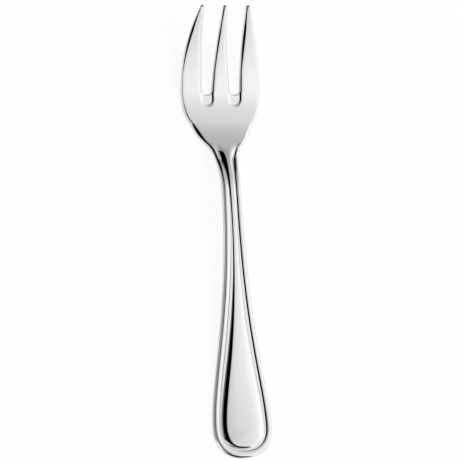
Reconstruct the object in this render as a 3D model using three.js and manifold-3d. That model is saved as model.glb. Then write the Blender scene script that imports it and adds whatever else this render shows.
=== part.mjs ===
// A one-piece fish fork in polished stainless steel. The blank is stamped from sheet, the handle is
// coined with a double thread border round a domed panel, the three tines are cut out of the head,
// and the whole is bent so that it lies face up on the handle end and the back of the head.
// Millimetres, tines towards +Y, face towards +Z, origin under the middle of the fork.
import * as THREE from 'three';
import { mergeVertices } from 'three/addons/utils/BufferGeometryUtils.js';
import Module from 'manifold-3d';

// Lengths along the fork, end to end
const HANDLE_LENGTH = 106;        // handle end to the narrowest point of the stem
const NECK_LENGTH = 28.7;         // narrowest point to the shoulder corners
const BOWL_LENGTH = 13.8;         // shoulder corners to the widest point of the head
const TINE_REACH = 31.5;          // widest point of the head to the tips

// Widths across the fork
const HANDLE_WIDTH = 24.6;        // the handle end is a half circle of this diameter
const STEM_WIDTH = 7.6;
const SHOULDER_WIDTH = 26;
const HEAD_WIDTH = 33;
const TIP_SPAN = 19;              // centre to centre of the outer tips
const TIP_WIDTH = 1.7;

// Slots between the tines
const SLOT_LENGTH = 34;           // tips to the back edge of the slot root
const SLOT_WIDTH = 3.9;           // at the root
const MIDDLE_TINE_WIDTH = 7.8;    // at the root
const ROOT_ROUND = 1.5;           // depth of the rounded slot root
const SCOOP_LENGTH = 3.7;         // slope pressed into the face ahead of each root
const SCOOP_DEPTH = 1;            // that slope's depth at the root
const TINE_EASING = 0.45;         // broken edge along the slots

// Thicknesses at the edge, and the ridge along the back of the stem
const HANDLE_THICKNESS = 2.6;
const STEM_THICKNESS = 3.4;
const HEAD_THICKNESS = 2.2;
const TIP_THICKNESS = 1.4;
const STEM_RIDGE = 1;

// Edges: a bevel round the face, broad on the handle and fine on the head, and a round at the back
const HANDLE_BEVEL = 1.2;
const HEAD_BEVEL = 0.5;
const BACK_ROUND = 0.5;
const ROUND_LIMIT = 0.45;         // largest share of the thickness that a bevel or a round takes

// Side profile
const LAND_LENGTH = 14;           // flat part of the back under the handle end
const STEM_RISE = 6.35;           // the stem arches this far above the handle end
const REST_PAST_SHOULDER = 1.8;   // shoulder corners to the line where the head rests
const TIP_RISE = 15;              // the tips stand this far above the resting line

// Thread border of the handle: two grooves along the edge, then the panel
const BORDER_WIDTH = 3.6;         // edge to the panel groove at the handle end
const STEM_BORDER_WIDTH = 3;      // the same on the stem
const THREAD_GROOVE_INSET = 2.55; // edge to the groove between the two threads, at the handle end
const THREAD_GROOVE_HALF = 0.55;
const PANEL_GROOVE_HALF = 0.45;
const GROOVE_DEPTH = 0.42;
const PANEL_FLANK = 2.4;          // width of the slope up from the panel groove, where there is room for it
const PANEL_FLANK_SHARE = 0.85;   // most of a narrow panel's half width that this slope takes
const PANEL_FLANK_SLOPE = 0.55;
const PANEL_CROWN = 0.15;         // dome of the panel between its flanks
const THREAD_REACH = 20.8;        // the threads run this far past the narrowest point of the stem
const THREAD_FADE = 6;

// Tension of each outline curve at its two ends, and the slopes where two curves meet in a corner
const HANDLE_TENSION = [0.19, 0.555];
const NECK_TENSION = [0.85, 0.46];
const BOWL_TENSION = [0.1, 0.56];
const TINE_TENSION = [0.58, 0.1];
const NECK_SLOPE = 0.35;
const BOWL_SLOPE = 1.1;
const TIP_SLOPE = -0.45;

// Clear distance by which a cutting body runs past what it cuts
const OVERRUN = 3;

// Stations along each stretch of the outline
const END_STATIONS = 10;
const HANDLE_STATIONS = 24;
const NECK_STATIONS = 14;
const BOWL_STATIONS = 8;
const TINE_STATIONS = 11;

// Steps of the smaller curves
const PANEL_STEPS = 2;            // half the panel's dome, and again its flank
const CORNER_STEPS = 3;           // round at the back edge
const BACK_STEPS = 2;             // edge to the ridge along the back
const TIP_STEPS = 8;              // round of each tip and slot root
const SLOT_SIDE_STEPS = 6;        // length of a slot's broken edge
const SCOOP_STEPS = 10;           // half turn of a scoop
const SCOOP_RINGS = [-0.25, 0.2, 0.6, 1]; // from inside the slot wall (below 0) to the scoop's rim (1)
const WELD_DISTANCE = 1e-5;       // corners closer than this are one

const length = HANDLE_LENGTH + NECK_LENGTH + BOWL_LENGTH + TINE_REACH;
const shoulderAt = HANDLE_LENGTH + NECK_LENGTH;
const restAt = shoulderAt + REST_PAST_SHOULDER;
const tipRadius = TIP_WIDTH / 2;
const { lerp, smoothstep } = THREE.MathUtils;

// Edge thickness of the fork at a distance from the handle end
function thickness(along) {
  if (along < HANDLE_LENGTH) {
    return lerp(HANDLE_THICKNESS, STEM_THICKNESS, smoothstep(along, LAND_LENGTH, HANDLE_LENGTH));
  }
  if (along < restAt) {
    return lerp(STEM_THICKNESS, HEAD_THICKNESS, smoothstep(along, HANDLE_LENGTH, restAt));
  }
  return lerp(HEAD_THICKNESS, TIP_THICKNESS, (along - restAt) / (length - restAt));
}

// Height of the middle of the edge: flat land, arched stem, dip to the resting line, rising tines
function midHeight(along) {
  const crest = HANDLE_THICKNESS / 2 + STEM_RISE;
  if (along < HANDLE_LENGTH) {
    return HANDLE_THICKNESS / 2 + STEM_RISE * smoothstep(along, LAND_LENGTH, HANDLE_LENGTH);
  }
  if (along < restAt) {
    return lerp(crest, HEAD_THICKNESS / 2, smoothstep(along, HANDLE_LENGTH, restAt));
  }
  return HEAD_THICKNESS / 2 + TIP_RISE * ((along - restAt) / (length - restAt)) ** 2;
}

const faceHeight = (along) => midHeight(along) + thickness(along) / 2;
const backHeight = (along) => midHeight(along) - thickness(along) / 2;

// How far a point has gone from handle to stem, for sizes that change along the handle
const stemShare = (along) => smoothstep(along, HANDLE_WIDTH / 2, HANDLE_LENGTH);

// Width and depth of the bevel round the face
const bevel = (along) => lerp(HANDLE_BEVEL, HEAD_BEVEL, smoothstep(along, HANDLE_LENGTH, shoulderAt));

// The border's relief dies away where the neck opens into the head
function threadShare(along) {
  const end = HANDLE_LENGTH + THREAD_REACH;
  return 1 - smoothstep(along, end - THREAD_FADE, end);
}

// Ridge along the back, strongest at the narrowest point of the stem
function ridge(along) {
  const rise = smoothstep(along, LAND_LENGTH, HANDLE_LENGTH);
  const fall = 1 - smoothstep(along, HANDLE_LENGTH, restAt);
  return STEM_RIDGE * Math.min(rise, fall);
}

// A rounded groove: 1 on its centre line, 0 from its half width outwards
function groove(distance, half) {
  const share = Math.min(Math.abs(distance) / half, 1);
  return 0.5 + 0.5 * Math.cos(Math.PI * share);
}

// Outline of the right half as a smooth curve between two points of given slopes
function sideCurve(from, to, fromSlope, toSlope, tension) {
  const run = to.y - from.y;
  const out = new THREE.Vector2(fromSlope, 1).multiplyScalar(run * tension[0]).add(from);
  const back = new THREE.Vector2(-toSlope, -1).multiplyScalar(run * tension[1]).add(to);
  return new THREE.CubicBezierCurve(from, out, back, to);
}

// The outline's stretches, from the middle of the handle end round to the outer edge of a tip
const handleSide = new THREE.Vector2(HANDLE_WIDTH / 2, HANDLE_WIDTH / 2);
const stemSide = new THREE.Vector2(STEM_WIDTH / 2, HANDLE_LENGTH);
const shoulderSide = new THREE.Vector2(SHOULDER_WIDTH / 2, shoulderAt);
const headSide = new THREE.Vector2(HEAD_WIDTH / 2, shoulderAt + BOWL_LENGTH);
const tipSide = new THREE.Vector2(TIP_SPAN / 2 + tipRadius, length - tipRadius);
const endRadius = HANDLE_WIDTH / 2;
const outline = [
  [new THREE.EllipseCurve(0, endRadius, endRadius, endRadius, -Math.PI / 2, 0), END_STATIONS],
  [sideCurve(handleSide, stemSide, 0, 0, HANDLE_TENSION), HANDLE_STATIONS],
  [sideCurve(stemSide, shoulderSide, 0, NECK_SLOPE, NECK_TENSION), NECK_STATIONS],
  [sideCurve(shoulderSide, headSide, BOWL_SLOPE, 0, BOWL_TENSION), BOWL_STATIONS],
  [sideCurve(headSide, tipSide, 0, TIP_SLOPE, TINE_TENSION), TINE_STATIONS],
];

// Points of the outline with the direction that leads inwards, square to the edge
function outlineStations() {
  const stations = [{ edge: new THREE.Vector2(0, 0), inward: new THREE.Vector2(0, 1) }];
  for (const [curve, count] of outline) {
    for (let i = 1; i <= count; i += 1) {
      const edge = curve.getPointAt(i / count);
      const tangent = curve.getTangentAt(i / count);
      stations.push({ edge, inward: new THREE.Vector2(-tangent.y, tangent.x) });
    }
  }
  stations.push({ edge: tipSide.clone().setY(length + OVERRUN), inward: new THREE.Vector2(-1, 0) });
  return stations;
}

// One half section of the blank, from the centre line over the face and round the edge to the back.
// At the handle end the sections fan round, so that the threads follow the half circle.
function halfSection({ edge, inward }) {
  const border = lerp(BORDER_WIDTH, STEM_BORDER_WIDTH, stemShare(edge.y));
  const scale = border / BORDER_WIDTH;
  const panelEdge = inward.clone().multiplyScalar(border).add(edge);
  const fanShare = Math.min(edge.y / endRadius, 1);
  const centre = new THREE.Vector2(0, panelEdge.y);
  if (fanShare < 1) {
    centre.y = lerp((BORDER_WIDTH + endRadius) / 2, endRadius, fanShare);
  }
  const share = threadShare(edge.y);
  const points = [];
  const inset = (distance) => inward.clone().multiplyScalar(distance).add(edge);
  const place = (plan, height) => points.push(new THREE.Vector3(plan.x, plan.y, height));
  const face = (plan, relief) => place(plan, faceHeight(plan.y) + relief);
  const back = (plan, relief) => place(plan, backHeight(plan.y) + relief);

  // Domed panel, from the centre line out, and its flank down to the groove
  const room = panelEdge.distanceTo(centre);
  const flank = PANEL_FLANK * Math.tanh((PANEL_FLANK_SHARE * room) / PANEL_FLANK);
  const flankTop = panelEdge.clone().lerp(centre, flank / room);
  for (let step = 0; step <= PANEL_STEPS; step += 1) {
    const out = step / PANEL_STEPS;
    const dome = PANEL_CROWN * (1 - out ** 2) + flank * PANEL_FLANK_SLOPE - GROOVE_DEPTH;
    face(centre.clone().lerp(flankTop, out), share * dome);
  }
  for (let step = 1; step <= PANEL_STEPS; step += 1) {
    const out = step / (PANEL_STEPS + 1);
    const slope = flank * PANEL_FLANK_SLOPE * (1 - out) - GROOVE_DEPTH;
    face(flankTop.clone().lerp(panelEdge, out), share * slope);
  }

  // Panel groove, inner thread, thread groove and outer thread
  const half = THREAD_GROOVE_HALF;
  const first = THREAD_GROOVE_INSET;
  const insets = [BORDER_WIDTH, BORDER_WIDTH - PANEL_GROOVE_HALF / 2, first + half, first + half / 2,
    first, first - half / 2, first - half];
  for (const distance of insets) {
    const toPanel = distance - BORDER_WIDTH;
    const pressed = Math.max(groove(distance - first, half), groove(toPanel, PANEL_GROOVE_HALF));
    face(inset(distance * scale), -share * GROOVE_DEPTH * pressed);
  }

  // Bevel of the face, and the round under the back corner
  const limit = ROUND_LIMIT * thickness(edge.y);
  const chamfer = Math.min(bevel(edge.y), limit);
  const radius = Math.min(BACK_ROUND, limit);
  face(inset(chamfer), 0);
  face(inset(0), -chamfer);
  for (let step = CORNER_STEPS; step >= 0; step -= 1) {
    const turn = (Math.PI / 2) * (step / CORNER_STEPS);
    back(inset(radius * (1 - Math.sin(turn))), radius * (1 - Math.cos(turn)));
  }

  // Back, in to the centre line
  for (let step = 0; step <= BACK_STEPS; step += 1) {
    const plan = panelEdge.clone().lerp(centre, step / BACK_STEPS);
    const across = edge.x > 0 ? plan.x / edge.x : 0;
    back(plan, -ridge(plan.y) * (1 - across ** 2));
  }
  return points;
}

// Closed solid through the half sections and their mirror images, capped past the tips
function loft(sections) {
  const count = sections[0].length;
  const corners = [];
  const quad = (a, b, c, d) => corners.push(a, b, c, a, c, d);
  const mirrored = (p) => new THREE.Vector3(-p.x, p.y, p.z);
  for (let i = 0; i + 1 < sections.length; i += 1) {
    const [near, far] = [sections[i], sections[i + 1]];
    for (let j = 0; j + 1 < count; j += 1) {
      quad(near[j], near[j + 1], far[j + 1], far[j]);
      quad(...[far[j], far[j + 1], near[j + 1], near[j]].map(mirrored));
    }
  }
  const last = sections.at(-1);
  const loop = [...last, ...last.slice(1, -1).reverse().map(mirrored)];
  const flat = loop.map((p) => new THREE.Vector2(p.x, p.z));
  for (const [a, b, c] of THREE.ShapeUtils.triangulateShape(flat, [])) {
    corners.push(loop[c], loop[b], loop[a]);
  }
  return new THREE.BufferGeometry().setFromPoints(corners);
}

// Plan of one slot and its surroundings
const slotCentre = MIDDLE_TINE_WIDTH / 2 + SLOT_WIDTH / 2;
const rootAt = length - SLOT_LENGTH + ROOT_ROUND;
const tipShoulder = length - tipRadius;

// Everything in front of and between the tines, cut straight through the blank
function slotCutter() {
  const comb = new THREE.Shape();
  comb.moveTo(HEAD_WIDTH, length + 2 * OVERRUN);
  comb.lineTo(HEAD_WIDTH, tipShoulder);
  for (const place of [1, 0, -1]) {
    const tip = (place * TIP_SPAN) / 2;
    comb.lineTo(tip + tipRadius, tipShoulder);
    comb.absarc(tip, tipShoulder, tipRadius, 0, Math.PI, false);
    if (place >= 0) {
      const centre = (place === 1 ? 1 : -1) * slotCentre;
      comb.lineTo(centre + SLOT_WIDTH / 2, rootAt);
      comb.absellipse(centre, rootAt, SLOT_WIDTH / 2, ROOT_ROUND, 0, Math.PI, true);
    }
  }
  comb.lineTo(-HEAD_WIDTH, tipShoulder);
  comb.lineTo(-HEAD_WIDTH, length + 2 * OVERRUN);
  const depth = faceHeight(length) + 2 * OVERRUN;
  return new THREE.ExtrudeGeometry(comb, { depth, bevelEnabled: false, curveSegments: TIP_STEPS })
    .translate(0, 0, -OVERRUN);
}

// One ring round a slot: up one tine, round the root and up the other, at a share of the way from
// the slot wall (0) to the outer edge of the eased corner and scoop (1)
function slotRing(side, share, lift) {
  const ring = [];
  const sink = (along, dip) => {
    const depth = lerp(TINE_EASING, SCOOP_DEPTH, dip) * (1 - share) ** 2;
    return faceHeight(along) - depth + lift;
  };
  const spread = TINE_EASING * share;
  const tineSide = (direction, tipEdge, step) => {
    const up = step / SLOT_SIDE_STEPS;
    const along = lerp(rootAt, length + OVERRUN, up);
    const toTip = (along - rootAt) / (tipShoulder - rootAt);
    const across = lerp(slotCentre + (direction * SLOT_WIDTH) / 2, tipEdge, toTip) + direction * spread;
    ring.push(new THREE.Vector3(side * across, along, sink(along, 0)));
  };
  for (let step = SLOT_SIDE_STEPS; step > 0; step -= 1) {
    tineSide(1, TIP_SPAN / 2 - tipRadius, step);
  }
  for (let step = 0; step <= SCOOP_STEPS; step += 1) {
    const turn = (Math.PI * step) / SCOOP_STEPS;
    const across = slotCentre + (SLOT_WIDTH / 2 + spread) * Math.cos(turn);
    const along = rootAt - (ROOT_ROUND + SCOOP_LENGTH * share) * Math.sin(turn);
    ring.push(new THREE.Vector3(side * across, along, sink(along, Math.sin(turn))));
  }
  for (let step = 1; step <= SLOT_SIDE_STEPS; step += 1) {
    tineSide(-1, tipRadius, step);
  }
  return side > 0 ? ring.reverse() : ring;
}

// Body that eases the face edges of a slot and presses the scoop ahead of its root
function scoopCutter(side) {
  const rings = SCOOP_RINGS.map((share) => slotRing(side, share, 0));
  rings.push(slotRing(side, 1, OVERRUN));
  const count = rings[0].length;
  const corners = [];
  for (let i = 0; i + 1 < rings.length; i += 1) {
    for (let j = 0; j < count; j += 1) {
      const k = (j + 1) % count;
      const [low, high] = [rings[i], rings[i + 1]];
      corners.push(low[j], low[k], high[k], low[j], high[k], high[j]);
    }
  }
  const plan = (ring) => ring.map((p) => new THREE.Vector2(p.x, p.y));
  const [floor, roof] = [rings[0], rings.at(-1)];
  for (const [a, b, c] of THREE.ShapeUtils.triangulateShape(plan(floor), [])) {
    corners.push(floor[c], floor[b], floor[a]);
  }
  for (const [a, b, c] of THREE.ShapeUtils.triangulateShape(plan(roof), [])) {
    corners.push(roof[a], roof[b], roof[c]);
  }
  return new THREE.BufferGeometry().setFromPoints(corners);
}

const wasm = await Module();
wasm.setup();

// A closed geometry as a solid that can be cut
function toSolid(geometry) {
  const bare = new THREE.BufferGeometry();
  bare.setAttribute('position', geometry.getAttribute('position'));
  const merged = mergeVertices(bare, WELD_DISTANCE);
  const vertProperties = new Float32Array(merged.getAttribute('position').array);
  const triVerts = new Uint32Array(merged.getIndex().array);
  return new wasm.Manifold(new wasm.Mesh({ numProp: 3, vertProperties, triVerts }));
}

function toGeometry(solid) {
  const { vertProperties, triVerts } = solid.getMesh();
  const geometry = new THREE.BufferGeometry();
  geometry.setAttribute('position', new THREE.BufferAttribute(vertProperties, 3));
  geometry.setIndex(new THREE.BufferAttribute(triVerts, 1));
  geometry.computeVertexNormals();
  return geometry;
}

const blank = toSolid(loft(outlineStations().map(halfSection)));
const forkSolid = blank
  .subtract(toSolid(slotCutter()))
  .subtract(toSolid(scoopCutter(1)))
  .subtract(toSolid(scoopCutter(-1)));

const polishedSteel = new THREE.MeshStandardMaterial({ color: 0xd6d7d9, metalness: 1, roughness: 0.12 });
const fork = new THREE.Mesh(toGeometry(forkSolid), polishedSteel);
fork.name = 'fish_fork';
fork.position.y = -length / 2;

const group = new THREE.Group();
group.add(fork);

export default group;
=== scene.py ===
from math import copysign, cos, hypot, pi, radians, sin, sqrt, tanh

import bmesh
import bpy
import numpy as np
from mathutils import Matrix, Vector
from mathutils.geometry import interpolate_bezier


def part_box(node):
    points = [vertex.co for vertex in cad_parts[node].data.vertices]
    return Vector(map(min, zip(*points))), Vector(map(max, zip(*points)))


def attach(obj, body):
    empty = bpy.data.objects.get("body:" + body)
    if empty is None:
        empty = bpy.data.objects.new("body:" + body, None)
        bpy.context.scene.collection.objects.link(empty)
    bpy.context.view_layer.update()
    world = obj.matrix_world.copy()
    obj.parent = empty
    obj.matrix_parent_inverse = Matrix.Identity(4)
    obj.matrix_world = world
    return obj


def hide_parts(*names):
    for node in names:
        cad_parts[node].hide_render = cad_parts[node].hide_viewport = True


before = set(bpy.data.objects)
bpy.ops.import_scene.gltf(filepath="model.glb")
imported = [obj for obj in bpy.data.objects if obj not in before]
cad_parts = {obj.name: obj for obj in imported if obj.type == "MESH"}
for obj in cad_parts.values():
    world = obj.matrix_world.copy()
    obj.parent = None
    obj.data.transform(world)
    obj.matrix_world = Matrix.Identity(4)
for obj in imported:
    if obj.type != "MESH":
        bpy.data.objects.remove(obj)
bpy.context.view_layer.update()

# Fish fork: one stamping of stainless steel, polished all over. The blank is cut from sheet, the handle
# is coined between dies with a double thread border round a domed panel, the slots are pierced, and the
# whole is bent so that it rests on the handle end and on the back of the head.
# Sizes are in millimetres, and places along the fork are distances from the handle end.
MM = 0.001
low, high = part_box("fish_fork")
LENGTH = (high.y - low.y) / MM
HEAD_WIDTH = (high.x - low.x) / MM
HANDLE_LENGTH = 106.0
SHOULDER_AT = 134.7
SHOULDER_CORNER = 0.3
WIDEST_AT = 148.5
HANDLE_WIDTH = 24.6
STEM_WIDTH = 7.9
SHOULDER_WIDTH = 26.0
TIP_SPAN = 19.0
TIP_RADIUS = 0.85
TIP_SHOULDER = LENGTH - TIP_RADIUS
END_RADIUS = HANDLE_WIDTH / 2


def eased(value, start, end):
    """A share from 0 to 1 that leaves the start and reaches the end softly."""
    share = min(max((value - start) / (end - start), 0.0), 1.0)
    return share * share * (3 - 2 * share)


def mix(first, second, share):
    """A value part of the way from the first to the second."""
    return first + (second - first) * share


def level_at(place, levels):
    """The level at a place, on straight lines between pairs of a place and its level."""
    return float(np.interp(place, *zip(*levels)))


# Outline of one side: smooth curves between the places where the width turns. Each curve has its slope
# across the fork at both ends, and two pulls that say how far it keeps to those slopes.
CURVE_POINTS = 160


def side_curve(start, end, slopes, pulls):
    """Points of the side between two places, each given across and along."""
    run = end[1] - start[1]
    leave = Vector(start) + Vector((slopes[0], 1)) * run * pulls[0]
    reach = Vector(end) - Vector((slopes[1], 1)) * run * pulls[1]
    return interpolate_bezier(Vector(start), leave, reach, Vector(end), CURVE_POINTS)


handle_side = (END_RADIUS, END_RADIUS)
stem_side = (STEM_WIDTH / 2, HANDLE_LENGTH)
shoulder_side = (SHOULDER_WIDTH / 2, SHOULDER_AT)
head_side = (HEAD_WIDTH / 2, WIDEST_AT)
tip_side = (TIP_SPAN / 2 + TIP_RADIUS, TIP_SHOULDER)
side = [
    *side_curve(handle_side, stem_side, slopes=(0, 0), pulls=(0.19, 0.555))[:-1],
    *side_curve(stem_side, shoulder_side, slopes=(0, 0.35), pulls=(0.85, 0.46))[:-1],
    *side_curve(shoulder_side, head_side, slopes=(1.1, 0), pulls=(0.1, 0.56))[:-1],
    *side_curve(head_side, tip_side, slopes=(0, -0.45), pulls=(0.58, 0.1)),
]
side_across = [point.x for point in side]
side_along = [point.y for point in side]


def half_width(along):
    """Distance of the side from the centre line."""
    return float(np.interp(along, side_along, side_across))


# Side profile: a flat land under the handle end, an arched stem with a ridge along its back, a dip to the
# resting line under the head and tines that sweep up to the tips
HANDLE_THICKNESS = 2.6
STEM_THICKNESS = 3.4
HEAD_THICKNESS = 2.2
TIP_THICKNESS = 1.4
LAND_LENGTH = 14.0
STEM_RISE = 6.35
STEM_RIDGE = 1.0
REST_AT = 136.5
TIP_RISE = 15.0


def thickness(along):
    """Thickness of the steel before its face is coined."""
    if along < HANDLE_LENGTH:
        return mix(HANDLE_THICKNESS, STEM_THICKNESS, eased(along, LAND_LENGTH, HANDLE_LENGTH))
    if along < REST_AT:
        return mix(STEM_THICKNESS, HEAD_THICKNESS, eased(along, HANDLE_LENGTH, REST_AT))
    return mix(HEAD_THICKNESS, TIP_THICKNESS, (along - REST_AT) / (LENGTH - REST_AT))


def middle_height(along):
    """Height of the middle of the steel above the table."""
    if along < HANDLE_LENGTH:
        return HANDLE_THICKNESS / 2 + STEM_RISE * eased(along, LAND_LENGTH, HANDLE_LENGTH)
    if along < REST_AT:
        crest = HANDLE_THICKNESS / 2 + STEM_RISE
        return mix(crest, HEAD_THICKNESS / 2, eased(along, HANDLE_LENGTH, REST_AT))
    return HEAD_THICKNESS / 2 + TIP_RISE * ((along - REST_AT) / (LENGTH - REST_AT)) ** 2


def back_ridge(along, across):
    """How far the ridge along the stem stands out of the back."""
    rise = eased(along, LAND_LENGTH, HANDLE_LENGTH)
    fall = 1 - eased(along, HANDLE_LENGTH, REST_AT)
    crown = 1 - (across / half_width(along)) ** 2
    return STEM_RIDGE * min(rise, fall) * max(crown, 0)


# Edges: the face is bevelled all round in two facets, one that slopes off the face and a steeper one down
# the side. Each bevel is a place along the fork with the reach and the slope of the face facet and then of
# the side facet. The back has a round, given as a share of the thickness.
SLOT_ROOT_AT = 147.5
THREAD_END = 126.8
EDGE_BEVELS = [
    (0, 0.35, 0.66, 0.75, 1.15),
    (66, 0.35, 0.66, 0.77, 1.15),
    (86, 0.25, 0.68, 0.62, 1.15),
    (102, 0.25, 0.68, 0.62, 1.15),
    (112, 0.45, 0.65, 0.55, 1.3),
    (120, 0.75, 0.55, 0.3, 1.5),
    (THREAD_END, 0.95, 0.55, 0.3, 1.6),
    (131, 1.45, 0.55, 0.3, 1.8),
    (SHOULDER_AT - 0.2, 0.75, 0.55, 0.3, 1.8),
    (SHOULDER_AT + SHOULDER_CORNER, 0.55, 0.6, 0.3, 2),
    (144, 0.2, 0.6, 0.3, 2),
    (155, 0.2, 0.6, 0.3, 2.2),
    (161, 0.55, 0.55, 0.3, 2.2),
    (166, 0.85, 0.55, 0.3, 2.2),
    (171, 0.95, 0.55, 0.3, 2.2),
    (176, 0.5, 0.55, 0.25, 2),
    (LENGTH, 0.12, 0.55, 0.2, 1.5),
]
MIDDLE_TINE_BEVELS = [
    (SLOT_ROOT_AT, 0.5, 0.45, 0.5, 1.3),
    (156, 0.4, 0.5, 0.4, 1.3),
    (163, 0.55, 0.55, 0.3, 2),
    (170, 0.65, 0.55, 0.3, 2.2),
    (176, 0.35, 0.55, 0.25, 2),
    (LENGTH, 0.12, 0.55, 0.2, 1.5),
]
OUTER_TINE_BEVELS = [
    (SLOT_ROOT_AT, 0.5, 0.45, 0.5, 1.3),
    (156, 0.4, 0.5, 0.4, 1.3),
    (163, 0.8, 0.55, 0.3, 2),
    (170, 1.0, 0.55, 0.3, 2.2),
    (176, 0.6, 0.55, 0.25, 2),
    (LENGTH, 0.12, 0.55, 0.2, 1.5),
]
BACK_ROUNDS = [(0, 0.35), (HANDLE_LENGTH, 0.42), (SHOULDER_AT, 0.25), (LENGTH, 0.1)]
FACE_FACET_COLUMNS = [1, 0.75, 0.25]
SIDE_FACET_COLUMNS = [0.85, 0.35, 0]


def bevel_at(along, bevels):
    """Reach and fall of the face facet and of the side facet at a place along the fork."""
    places, *columns = zip(*bevels)
    sizes = [float(np.interp(along, places, column)) for column in columns]
    face_reach, face_slope, side_reach, side_slope = sizes
    return face_reach, face_reach * face_slope, side_reach, side_reach * side_slope


def bevel_insets(bevel):
    """Distances inside an edge at which the columns follow its bevel."""
    face_reach, _, side_reach, _ = bevel
    insets = [side_reach + share * face_reach for share in FACE_FACET_COLUMNS]
    return insets + [side_reach * share for share in SIDE_FACET_COLUMNS]


def edge_falls(along, gap, bevel):
    """How far the face and the back fall away at a distance inside an edge."""
    face_reach, face_fall, side_reach, side_fall = bevel
    falls = [(0, face_fall + side_fall), (side_reach, face_fall), (side_reach + face_reach, 0)]
    radius = level_at(along, BACK_ROUNDS) * thickness(along)
    inside = min(max(radius - gap, 0), radius)
    return level_at(gap, falls), radius - sqrt(radius**2 - inside**2)


# Thread border: a broad outer thread that drops into a groove, and two fine inner threads between it and
# the groove round the panel. Its parts are distances inside the edge, which change towards the handle end,
# the stem and the neck. In the neck the threads draw away from the flaring edge and fade out.
NECK_AT = 122.5
BORDER_WIDTHS = [
    (0, 3.6),
    (8, 3.5),
    (15, 3.45),
    (26, 3.75),
    (40, 4.0),
    (54, 3.95),
    (70, 3.75),
    (88, 3.25),
    (HANDLE_LENGTH, 2.7),
    (NECK_AT, 2.5),
]
THREAD_EDGE = {"handle": 2.2, "stem": 1.9, "end": 2.6, "neck": 1.4}
THREAD_GROOVE = {"handle": 2.85, "stem": 2.45, "end": 3.2, "neck": 2.1}
THREAD_DEPTH = 0.44
PANEL_GROOVE_DEPTH = 0.38
NECK_FLARE = 0.7

# Turns of the inner threads: a share of the room between the two grooves, with the rise there above the
# outer groove. Where the room is less than the full one, they are lower in proportion.
INNER_THREADS = [(0.14, 0.17), (0.5, 0.09), (0.62, 0.16), (0.7, 0.15)]
FULL_THREAD_ROOM = 1.0

# Shares of the full depth on the stem, round the handle end and in the neck
STEM_DEPTH = 0.75
END_DEPTH = 0.58
NECK_DEPTH = 0.8

# Columns of the border, counted from the outer thread's edge at 0 and its groove at 1 to the panel's groove
BORDER_STEPS = [5.5, 5, 4, 3, 2, 1.5, 1, 0.7, 0.35, 0]


def handle_shares(along):
    """How far a place is along the stem, into the neck and round the handle end."""
    stem_share = min(max((along - END_RADIUS) / (HANDLE_LENGTH - END_RADIUS), 0), 1)
    neck_share = eased(along, HANDLE_LENGTH, NECK_AT)
    end_share = 1 - eased(along, 0, END_RADIUS)
    return stem_share, neck_share, end_share


def border_profile(along):
    """Distances inside the edge of the border's turns, from the outer thread in, and the relief of each."""
    stem_share, neck_share, end_share = handle_shares(along)
    flare = NECK_FLARE * eased(along, NECK_AT, THREAD_END)
    border = level_at(along, BORDER_WIDTHS) + flare
    insets = []
    for spots in (THREAD_EDGE, THREAD_GROOVE):
        inset = mix(mix(spots["handle"], spots["stem"], stem_share), spots["end"], end_share)
        insets.append(mix(inset, spots["neck"], neck_share) + flare)
    reliefs = [0, -THREAD_DEPTH]
    thread_room = border - insets[-1]
    for share, rise in INNER_THREADS:
        insets.append(border - thread_room * (1 - share))
        reliefs.append(rise * min(thread_room / FULL_THREAD_ROOM, 1) - THREAD_DEPTH)
    insets.append(border)
    reliefs.append(-PANEL_GROOVE_DEPTH)
    depth_share = mix(mix(1, STEM_DEPTH, stem_share**2), NECK_DEPTH, neck_share)
    depth_share *= mix(1, END_DEPTH, end_share) * (1 - eased(along, NECK_AT, THREAD_END))
    return insets, [relief * depth_share for relief in reliefs]


# Panel: it rises from its groove by a flank all round to a low dome with a spine along the handle. The
# flank is steepest at its foot along the handle and nearly straight in the neck. Towards the neck the
# panel and its border sink until the panel is level with the bowl, and then it fades out.
SINK_FROM = 90.0
PANEL_FADE_FROM = 119.0
PANEL_END = 126.0

# The flank takes a share of the half panel, up to its full width, and part of that round the handle end.
# Its knots are a share of that width from the foot, with the share of its rise that it has there.
FLANK_WIDTH = 2.25
FLANK_SHARE = 0.48
NECK_FLANK_SHARE = 0.92
END_FLANK = 0.5
FLANK_SLOPE = 0.55
NECK_FLANK_SLOPE = 0.74
FLANK_KNOTS = [(0, 0), (0.2, 0.32), (0.45, 0.6), (0.7, 0.83), (0.9, 0.96), (1, 1)]
NECK_FLANK_KNOTS = [(0, 0), (0.2, 0.22), (0.45, 0.48), (0.7, 0.74), (0.9, 0.94), (1, 1)]
FLANK_TURN_FROM = 99.0
FLANK_TURN_AT = 113.0
FLANK_REACH = [0.9, 0.8, 0.6, 0.4, 0.2, 0.08, 0]

# The dome falls away from its spine, slowly at first, to its full slope where it meets the flank
DOME_SLOPE = 0.052
DOME_POWER = 3
SPINE_FROM = 8.0
DOME_REACH = [1, 0.78, 0.56, 0.36, 0.2, 0.08, 0]


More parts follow.
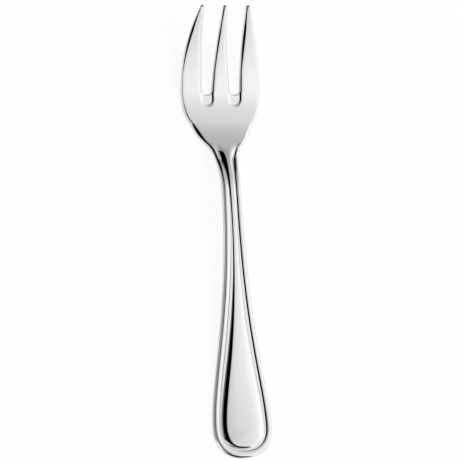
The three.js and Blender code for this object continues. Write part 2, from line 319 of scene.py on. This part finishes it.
def handle_columns(edge, inward, centre):
    """Plan points of a half row with the relief that the dies give each, from the centre line out."""
    _, neck_share, end_share = handle_shares(edge.y)
    insets, reliefs = border_profile(edge.y)
    border, foot = insets[-1], reliefs[-1]
    panel_fade = 1 - eased(edge.y, PANEL_FADE_FROM, PANEL_END)
    room = half_width(max(edge.y, END_RADIUS)) - border
    flank_share = mix(FLANK_SHARE, NECK_FLANK_SHARE, neck_share)
    flank = FLANK_WIDTH * tanh(flank_share * room / FLANK_WIDTH)
    flank_rise = flank * mix(FLANK_SLOPE, NECK_FLANK_SLOPE, neck_share) * panel_fade
    flank_turn = eased(edge.y, FLANK_TURN_FROM, FLANK_TURN_AT)
    dome_radius = room - flank
    flank *= mix(1, END_FLANK, end_share**2)
    sink = (flank_rise + foot) * eased(edge.y, SINK_FROM, PANEL_FADE_FROM)
    panel_edge = edge + inward * border
    flank_top = panel_edge + inward * flank
    columns = []
    for reach in DOME_REACH:
        point = flank_top.lerp(centre, reach)
        from_spine = (point - Vector((0, max(point.y, SPINE_FROM)))).length / dome_radius
        dome = DOME_SLOPE / DOME_POWER * dome_radius * (1 - from_spine**DOME_POWER) * panel_fade
        columns.append((point, foot + flank_rise + dome))
    for reach in FLANK_REACH:
        rise_share = mix(level_at(reach, FLANK_KNOTS), level_at(reach, NECK_FLANK_KNOTS), flank_turn)
        columns.append((panel_edge.lerp(flank_top, reach), foot + flank_rise * rise_share))
    for step in BORDER_STEPS:
        inset = level_at(step, enumerate(insets))
        columns.append((edge + inward * inset, level_at(step, enumerate(reliefs))))
    for inset in bevel_insets(bevel_at(edge.y, EDGE_BEVELS)):
        columns.append((edge + inward * inset, 0.0))
    return [(point, relief - sink) for point, relief in columns]


# Tines and slots. In the head the same columns follow the tines instead: half the middle tine, a slot,
# then an outer tine, with close columns for the bevels along the slots. A scoop runs out of each slot
# root into the face of the bowl, and each tip ends in a small chamfer.
SLOT_WIDTH = 3.9
MIDDLE_TINE_WIDTH = 7.8
SLOT_CENTRE = (MIDDLE_TINE_WIDTH + SLOT_WIDTH) / 2
ROOT_ROUND = 1.0
ROOT_BEND_FROM = 139.5
ROOT_BEVEL_LENGTH = 1.0
ROOT_BEVEL_AT = SLOT_ROOT_AT - ROOT_BEVEL_LENGTH
SCOOP_FROM = 141.4
SCOOP_ROUND_AT = 144.3
SCOOP_DEPTH = 0.3
SCOOP_WALL = 0.85
CHAMFER_LENGTH = 0.95
CHAMFER_FALL = 1.22

# Columns of the head: where they have all turned to the tines, how many steps they take across a slot
# and across an outer tine, and which of them are a slot's two sides
HEAD_COLUMNS_AT = 140.0
SLOT_STEPS = 8
TINE_STEPS = 4
MIDDLE_EDGE = 1 + len(FACE_FACET_COLUMNS) + len(SIDE_FACET_COLUMNS)
OUTER_EDGE = MIDDLE_EDGE + SLOT_STEPS


def slot_edges(along):
    """Distances of a slot's two sides from the centre line."""
    share = max(along - SLOT_ROOT_AT, 0) / (TIP_SHOULDER - SLOT_ROOT_AT)
    inner = mix(SLOT_CENTRE - SLOT_WIDTH / 2, TIP_RADIUS, share)
    outer = mix(SLOT_CENTRE + SLOT_WIDTH / 2, TIP_SPAN / 2 - TIP_RADIUS, share)
    return inner, outer


def head_columns(along):
    """Distances of a half row's points from the centre line."""
    inner, outer = slot_edges(along)
    edge = half_width(max(along, SLOT_ROOT_AT))
    edge_insets = bevel_insets(bevel_at(along, EDGE_BEVELS))
    middle_insets = bevel_insets(bevel_at(along, MIDDLE_TINE_BEVELS))
    outer_insets = bevel_insets(bevel_at(along, OUTER_TINE_BEVELS))
    across = [0.0, (inner - middle_insets[0]) / 2]
    across += [inner - inset for inset in middle_insets]
    for step in range(1, SLOT_STEPS):
        across.append(mix(inner, outer, (1 - cos(pi * step / SLOT_STEPS)) / 2))
    across += [outer + inset for inset in reversed(outer_insets)]
    first = across[-1]
    last = edge - edge_insets[0]
    across += [mix(first, last, step / TINE_STEPS) for step in range(1, TINE_STEPS)]
    if along < SLOT_ROOT_AT:
        across = [place * half_width(along) / edge for place in across]
    return across + [half_width(along) - inset for inset in edge_insets]


def place_of(across, along, relief, face_fall, back_fall):
    """A plan point with its heights on the face and on the back."""
    face = middle_height(along) + thickness(along) / 2 + relief - face_fall
    back = middle_height(along) - thickness(along) / 2 - back_ridge(along, across) + back_fall
    return across, along, face, back


# Rows of the blank: a fan round the handle end, whose outline is a little squarer than a circle, and then
# rows straight across. Each stretch is a start, an end and a number of rows, closer where the relief
# turns more quickly. At the tips the rows bulge forward, until the last one goes round each tine's end.
END_SQUARENESS = 2.25
END_ROWS = 14
STRETCHES = [
    (END_RADIUS, HANDLE_LENGTH, 52),
    (HANDLE_LENGTH, PANEL_FADE_FROM, 12),
    (PANEL_FADE_FROM, THREAD_END, 14),
    (THREAD_END, SHOULDER_AT - SHOULDER_CORNER, 5),
    (SHOULDER_AT - SHOULDER_CORNER, SHOULDER_AT + SHOULDER_CORNER, 2),
    (SHOULDER_AT + SHOULDER_CORNER, SCOOP_FROM, 10),
    (SCOOP_FROM, ROOT_BEVEL_AT, 11),
    (ROOT_BEVEL_AT, SLOT_ROOT_AT, 5),
]
TIP_TAPER = 2.0
TINE_ROWS = 24
TIP_BULGES = [0.3, 0.5, 0.62, 0.68, 0.76, 0.86, 0.94, 1]


def end_row(angle):
    """A half row that fans round the handle end."""
    across = sin(angle) ** (2 / END_SQUARENESS)
    down = cos(angle) ** (2 / END_SQUARENESS)
    inward = Vector((-(across ** (END_SQUARENESS - 1)), down ** (END_SQUARENESS - 1))).normalized()
    edge = Vector((END_RADIUS * across, END_RADIUS * (1 - down)))
    end_centre = (level_at(0, BORDER_WIDTHS) + END_RADIUS) / 2
    centre = Vector((0, mix(end_centre, END_RADIUS, edge.y / END_RADIUS)))
    row = []
    for point, relief in handle_columns(edge, inward, centre):
        gap = (point - edge).dot(inward)
        falls = edge_falls(point.y, gap, bevel_at(edge.y, EDGE_BEVELS))
        row.append(place_of(point.x, point.y, relief, *falls))
    return row


def cross_row(along, bulge=0.0):
    """A half row straight across the fork, bulging forward at the tips."""
    edge = half_width(along)
    inner, outer = slot_edges(along)
    handle = handle_columns(Vector((edge, along)), Vector((-1, 0)), Vector((0, along)))
    head = head_columns(along)
    head_share = eased(along, THREAD_END, HEAD_COLUMNS_AT)
    slot_middle = (head[MIDDLE_EDGE] + head[OUTER_EDGE]) / 2
    slot_half = (head[OUTER_EDGE] - head[MIDDLE_EDGE]) / 2
    root_gap = max(SLOT_ROOT_AT - along, 0)
    root_share = eased(along, ROOT_BEVEL_AT, SLOT_ROOT_AT)
    edge_bevel = bevel_at(along, EDGE_BEVELS)
    row = []
    for column, (point, relief) in enumerate(handle):
        across = mix(point.x, head[column], head_share)
        forward = 0.0
        slot_gap = 0.0
        fall, back_fall = edge_falls(along, edge - across, edge_bevel)
        outside = column >= OUTER_EDGE
        slot_bevel = bevel_at(along, OUTER_TINE_BEVELS if outside else MIDDLE_TINE_BEVELS)
        if MIDDLE_EDGE < column < OUTER_EDGE:
            turn = pi * (column - MIDDLE_EDGE) / SLOT_STEPS
            forward = -ROOT_ROUND * sin(turn) * eased(along, ROOT_BEND_FROM, SLOT_ROOT_AT)
        elif outside:
            slot_gap = across - head[OUTER_EDGE]
        else:
            slot_gap = head[MIDDLE_EDGE] - across
        slot_fall, _ = edge_falls(along, hypot(slot_gap, root_gap), slot_bevel)
        _, slot_round = edge_falls(along, slot_gap, slot_bevel)
        scoop_gap = hypot(across - slot_middle, max(SCOOP_ROUND_AT - along, 0)) - slot_half
        fall = max(fall, slot_fall, SCOOP_DEPTH * min(1 - scoop_gap / SCOOP_WALL, 1))
        back_fall = max(back_fall, root_share * slot_round)
        if bulge:
            half = (edge - outer) / 2 if outside else inner
            middle = (edge + outer) / 2 if outside else 0.0
            round_share = sqrt(max(1 - ((across - middle) / half) ** 2, 0))
            forward = bulge * half * round_share
            fall = max(fall, CHAMFER_FALL * (1 - (LENGTH - along - forward) / CHAMFER_LENGTH))
        row.append(place_of(across, along + forward, relief, fall, back_fall))
    return row


rows = [end_row(pi / 2 * step / END_ROWS) for step in range(END_ROWS)]
for start, end, count in STRETCHES:
    rows += [cross_row(mix(start, end, step / count)) for step in range(count)]
root_row = len(rows)
taper_at = TIP_SHOULDER - TIP_TAPER
rows += [cross_row(mix(SLOT_ROOT_AT, taper_at, step / TINE_ROWS)) for step in range(TINE_ROWS + 1)]
rows += [cross_row(TIP_SHOULDER - TIP_TAPER * (1 - bulge), bulge) for bulge in TIP_BULGES]
half_columns = len(rows[0]) - 1
last_row = len(rows) - 1

# The blank starts as a flat slab with a square of side 1 for each column and row, with the slots left
# open, and each of its corners then goes to its place on the finished fork.
SLAB_THICKNESS = 1.0
MERGE_DISTANCE = 0.0001
steel = bmesh.new()
bmesh.ops.create_grid(steel, x_segments=2 * half_columns, y_segments=last_row, size=1)
bmesh.ops.translate(steel, verts=steel.verts, vec=(0, 1, 0))
bmesh.ops.scale(steel, verts=steel.verts, vec=(half_columns, last_row / 2, 1))


def in_slot(face):
    """Whether a square of the slab lies in one of the slots."""
    middle = face.calc_center_median()
    return middle.y > root_row and MIDDLE_EDGE < abs(middle.x) < OUTER_EDGE


bmesh.ops.delete(steel, geom=[face for face in steel.faces if in_slot(face)], context="FACES")
bmesh.ops.solidify(steel, geom=steel.faces[:], thickness=SLAB_THICKNESS)
face_level = max(vert.co.z for vert in steel.verts)

# The fan's first row is the centre line, where its two halves meet, so the slab has no wall there and
# the halves are merged.
seam = [face for face in steel.faces if all(round(vert.co.y) == 0 for vert in face.verts)]
bmesh.ops.delete(steel, geom=seam, context="FACES")
for vert in steel.verts:
    column, row = round(vert.co.x), round(vert.co.y)
    across, along, face_height, back_height = rows[row][abs(column)]
    on_face = vert.co.z > face_level - SLAB_THICKNESS / 2
    vert.co = copysign(across, column), along, face_height if on_face else back_height
bmesh.ops.remove_doubles(steel, verts=steel.verts, dist=MERGE_DISTANCE)
bmesh.ops.dissolve_verts(steel, verts=[vert for vert in steel.verts if len(vert.link_edges) == 2])
bmesh.ops.scale(steel, verts=steel.verts, vec=(MM, MM, MM))
bmesh.ops.translate(steel, verts=steel.verts, vec=(0, low.y, low.z))
bmesh.ops.recalc_face_normals(steel, faces=steel.faces)
for face in steel.faces:
    face.smooth = True

fork_mesh = bpy.data.meshes.new("polished_fish_fork")
steel.to_mesh(fork_mesh)
steel.free()
fork = bpy.data.objects.new("polished_fish_fork", fork_mesh)
bpy.context.scene.collection.objects.link(fork)
smoothing = fork.modifiers.new("smoothing", "SUBSURF")
smoothing.levels = 1
smoothing.render_levels = 1

# Mirror-polished stainless steel: nearly neutral, with faint polishing lines along the fork and
# slightly duller patches where it has been handled and washed
STEEL_COLOUR = (0.86, 0.86, 0.855, 1)
POLISHED_ROUGHNESS = 0.035
HANDLED_ROUGHNESS = 0.07
PATCH_SCALE = 90
PATCH_DETAIL = 4
PATCH_FROM = 0.35
PATCH_FULL = 0.7
LINE_STRETCH = (5200, 160, 1500)
LINE_DETAIL = 2
LINE_STRENGTH = 0.02
LINE_DEPTH = 0.00002
polished_steel = bpy.data.materials.new("polished_steel")
polished_steel.use_nodes = True
nodes, links = polished_steel.node_tree.nodes, polished_steel.node_tree.links
surface = nodes["Principled BSDF"]
surface.inputs["Base Color"].default_value = STEEL_COLOUR
surface.inputs["Metallic"].default_value = 1
spot = nodes.new("ShaderNodeTexCoord")
patches = nodes.new("ShaderNodeTexNoise")
patches.inputs["Scale"].default_value = PATCH_SCALE
patches.inputs["Detail"].default_value = PATCH_DETAIL
links.new(spot.outputs["Object"], patches.inputs["Vector"])
dullness = nodes.new("ShaderNodeMapRange")
dullness.inputs["From Min"].default_value = PATCH_FROM
dullness.inputs["From Max"].default_value = PATCH_FULL
dullness.inputs["To Min"].default_value = POLISHED_ROUGHNESS
dullness.inputs["To Max"].default_value = HANDLED_ROUGHNESS
links.new(patches.outputs["Fac"], dullness.inputs["Value"])
links.new(dullness.outputs["Result"], surface.inputs["Roughness"])
stretch = nodes.new("ShaderNodeMapping")
stretch.inputs["Scale"].default_value = LINE_STRETCH
links.new(spot.outputs["Object"], stretch.inputs["Vector"])
lines = nodes.new("ShaderNodeTexNoise")
lines.inputs["Scale"].default_value = 1
lines.inputs["Detail"].default_value = LINE_DETAIL
links.new(stretch.outputs["Vector"], lines.inputs["Vector"])
polish = nodes.new("ShaderNodeBump")
polish.inputs["Strength"].default_value = LINE_STRENGTH
polish.inputs["Distance"].default_value = LINE_DEPTH
links.new(lines.outputs["Fac"], polish.inputs["Height"])
links.new(polish.outputs["Normal"], surface.inputs["Normal"])
fork.data.materials.append(polished_steel)

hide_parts("fish_fork")
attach(fork, "root")

# Floor: a wide sheet of white paper that the fork lies on. The view sees it nearly plain white with a
# faint shadow, and in the steel it is greyer and more deeply shaded near the fork.
FLOOR_SIZE = 6.0
FLOOR_COLOUR = (0.9, 0.9, 0.9, 1)
WHITE = (1, 1, 1, 1)
GLOW_IN_VIEW = 0.94
GLOW_IN_STEEL = 0.4
floor_bm = bmesh.new()
bmesh.ops.create_grid(floor_bm, x_segments=1, y_segments=1, size=FLOOR_SIZE / 2)
floor_mesh = bpy.data.meshes.new("floor")
floor_bm.to_mesh(floor_mesh)
floor_bm.free()
floor = bpy.data.objects.new("floor", floor_mesh)
bpy.context.scene.collection.objects.link(floor)
white_paper = bpy.data.materials.new("white_paper")
white_paper.use_nodes = True
nodes, links = white_paper.node_tree.nodes, white_paper.node_tree.links
nodes.remove(nodes["Principled BSDF"])
matt = nodes.new("ShaderNodeBsdfDiffuse")
matt.inputs["Color"].default_value = FLOOR_COLOUR
glow = nodes.new("ShaderNodeEmission")
glow.inputs["Color"].default_value = WHITE
ray = nodes.new("ShaderNodeLightPath")
mirrored = nodes.new("ShaderNodeMath")
mirrored.operation = "MAXIMUM"
links.new(ray.outputs["Is Glossy Ray"], mirrored.inputs[0])
links.new(ray.outputs["Is Transmission Ray"], mirrored.inputs[1])
mirrored_glow = nodes.new("ShaderNodeMath")
mirrored_glow.operation = "MULTIPLY"
mirrored_glow.inputs[1].default_value = GLOW_IN_STEEL
links.new(mirrored.outputs["Value"], mirrored_glow.inputs[0])
glow_share = nodes.new("ShaderNodeMath")
glow_share.operation = "MULTIPLY_ADD"
glow_share.inputs[1].default_value = GLOW_IN_VIEW
links.new(ray.outputs["Is Camera Ray"], glow_share.inputs[0])
links.new(mirrored_glow.outputs["Value"], glow_share.inputs[2])
paper = nodes.new("ShaderNodeMixShader")
links.new(glow_share.outputs["Value"], paper.inputs["Fac"])
links.new(matt.outputs["BSDF"], paper.inputs[1])
links.new(glow.outputs["Emission"], paper.inputs[2])
links.new(paper.outputs["Shader"], nodes["Material Output"].inputs["Surface"])
floor_mesh.materials.append(white_paper)

# Lamp: a soft box to the upper right that lights the floor. It is kept out of the steel, which shows
# the studio's own broad light instead.
LAMP_PLACE = Vector((0.5, -0.15, 0.8))
LAMP_SIZE = 0.5
LAMP_POWER = 6.0
lamp_data = bpy.data.lights.new("soft_box", "AREA")
lamp_data.size = LAMP_SIZE
lamp_data.energy = LAMP_POWER
lamp = bpy.data.objects.new("soft_box", lamp_data)
lamp.location = LAMP_PLACE
lamp.rotation_euler = LAMP_PLACE.to_track_quat("Z", "Y").to_euler()
lamp.visible_glossy = False
bpy.context.scene.collection.objects.link(lamp)

# Studio: a broad soft light overhead that grows brighter towards the right and fades beyond the tips and
# low down at the handle end, a bright wall to the right, the unlit side of the studio to the left with
# dim light low down there, and a white card low down to the left of the handle end.
# Each list gives the brightness along one direction, from 0 at the left, at the handle end or at the
# bottom to 1 at the opposite end, while a direction itself runs from -1 to 1.
LIGHT_ACROSS = [
    (0.0, 0.0), (0.38, 0.0), (0.42, 0.44), (0.5, 0.55), (0.6, 0.63), (0.655, 0.83), (0.676, 0.91),
    (0.697, 1.01), (0.714, 1.12), (0.768, 1.14), (0.8, 0.66), (1.0, 0.66),
]
LIGHT_ALONG = [
    (0.0, 0.02), (0.05, 0.06), (0.085, 1.2), (0.17, 1.35), (0.365, 1.38), (0.46, 1.28), (0.495, 1.14),
    (0.526, 1.06), (0.55, 0.99), (0.575, 0.94), (0.595, 0.91), (0.66, 0.82), (0.735, 0.68),
    (0.787, 0.58), (0.86, 0.47), (0.885, 0.16), (0.91, 0.05), (1.0, 0.03),
]
LIGHT_LIMIT = 1.05
LIGHT_SLANT = 0.16
WALL_ACROSS = [(0.0, 0.0), (0.74, 0.0), (0.79, 1.14), (1.0, 1.14)]
WALL_ALONG = [
    (0.0, 0.8), (0.32, 0.8), (0.42, 1.0), (0.63, 1.0), (0.75, 0.55), (0.88, 0.5), (0.95, 0.0), (1.0, 0.0),
]
DIM_ACROSS = [(0.0, 0.33), (0.06, 0.33), (0.12, 0.0), (1.0, 0.0)]
DIM_ALONG = [(0.0, 0.0), (0.34, 0.0), (0.42, 1.0), (1.0, 1.0)]
CARD_ACROSS = [(0.0, 1.0), (0.3, 1.0), (0.5, 0.3), (0.6, 0.0), (1.0, 0.0)]
CARD_ALONG = [(0.0, 0.1), (0.04, 0.2), (0.16, 1.0), (0.28, 1.0), (0.42, 0.2), (0.46, 0.0), (1.0, 0.0)]
CARD_UP = [(0.0, 1.0), (0.64, 1.0), (0.7, 0.0), (1.0, 0.0)]
studio = bpy.data.worlds.new("studio")
bpy.context.scene.world = studio
studio.use_nodes = True
nodes, links = studio.node_tree.nodes, studio.node_tree.links
direction = nodes.new("ShaderNodeTexCoord")
parts = nodes.new("ShaderNodeSeparateXYZ")
links.new(direction.outputs["Generated"], parts.inputs["Vector"])
to_right, to_tips, to_top = parts.outputs["X"], parts.outputs["Y"], parts.outputs["Z"]


def worked_out(operation, *values):
    """The result of a sum whose values are numbers or other results."""
    step = nodes.new("ShaderNodeMath")
    step.operation = operation
    for socket, value in zip(step.inputs, values):
        if isinstance(value, float):
            socket.default_value = value
        else:
            links.new(value, socket)
    return step.outputs["Value"]


def fall_off(way, levels):
    """Brightness that follows a few levels from one end of a direction to the other."""
    curve = nodes.new("ShaderNodeFloatCurve")
    points = curve.mapping.curves[0].points
    top = max(level for _, level in levels)
    for place, level in levels[1:-1]:
        points.new(place, level / top)
    points[0].location = levels[0][0], levels[0][1] / top
    points[-1].location = levels[-1][0], levels[-1][1] / top
    for point in points:
        point.handle_type = "VECTOR"
    curve.mapping.update()
    links.new(worked_out("MULTIPLY_ADD", way, 0.5, 0.5), curve.inputs["Value"])
    return worked_out("MULTIPLY", curve.outputs["Value"], top)


slanted = worked_out("MULTIPLY_ADD", to_tips, LIGHT_SLANT, to_right)
overhead = worked_out("MULTIPLY", fall_off(slanted, LIGHT_ACROSS), fall_off(to_tips, LIGHT_ALONG))
overhead = worked_out("MINIMUM", overhead, LIGHT_LIMIT)
right_wall = worked_out("MULTIPLY", fall_off(slanted, WALL_ACROSS), fall_off(to_tips, WALL_ALONG))
dim_side = worked_out("MULTIPLY", fall_off(to_right, DIM_ACROSS), fall_off(to_tips, DIM_ALONG))
low_card = worked_out("MULTIPLY", fall_off(to_right, CARD_ACROSS), fall_off(to_tips, CARD_ALONG))
low_card = worked_out("MULTIPLY", low_card, fall_off(to_top, CARD_UP))
left_light = worked_out("MAXIMUM", dim_side, low_card)
right_light = worked_out("MAXIMUM", overhead, right_wall)
soft_light = nodes["Background"]
soft_light.inputs["Color"].default_value = WHITE
links.new(worked_out("ADD", left_light, right_light), soft_light.inputs["Strength"])

# Camera: almost straight above, a little to the left of the fork and towards its handle end, and
# turned so that the fork leans to the left
SIDE_TILT = radians(18)
END_TILT = radians(10)
ROLL = radians(3.869)
DISTANCE = 1.5
LENS = 296.25
SENSOR_WIDTH = 36
TARGET = Vector((0, 0, 0.005))
AIM_RIGHT = -0.000825
AIM_UP = 0.00088
back = Vector((-sin(SIDE_TILT) * cos(END_TILT), -sin(END_TILT), cos(SIDE_TILT) * cos(END_TILT)))
up = (Vector((0, 1, 0)) - back * back.y).normalized()
right = up.cross(back)
image_right = right * cos(ROLL) - up * sin(ROLL)
image_up = right * sin(ROLL) + up * cos(ROLL)
stand = TARGET + image_right * AIM_RIGHT + image_up * AIM_UP + back * DISTANCE
facing = Matrix((image_right, image_up, back)).transposed().to_4x4()
camera_data = bpy.data.cameras.new("camera")
camera_data.lens = LENS
camera_data.sensor_width = SENSOR_WIDTH
camera = bpy.data.objects.new("camera", camera_data)
camera.matrix_world = Matrix.Translation(stand) @ facing
bpy.context.scene.collection.objects.link(camera)
bpy.context.scene.camera = camera
bpy.context.scene.view_settings.view_transform = "Standard"
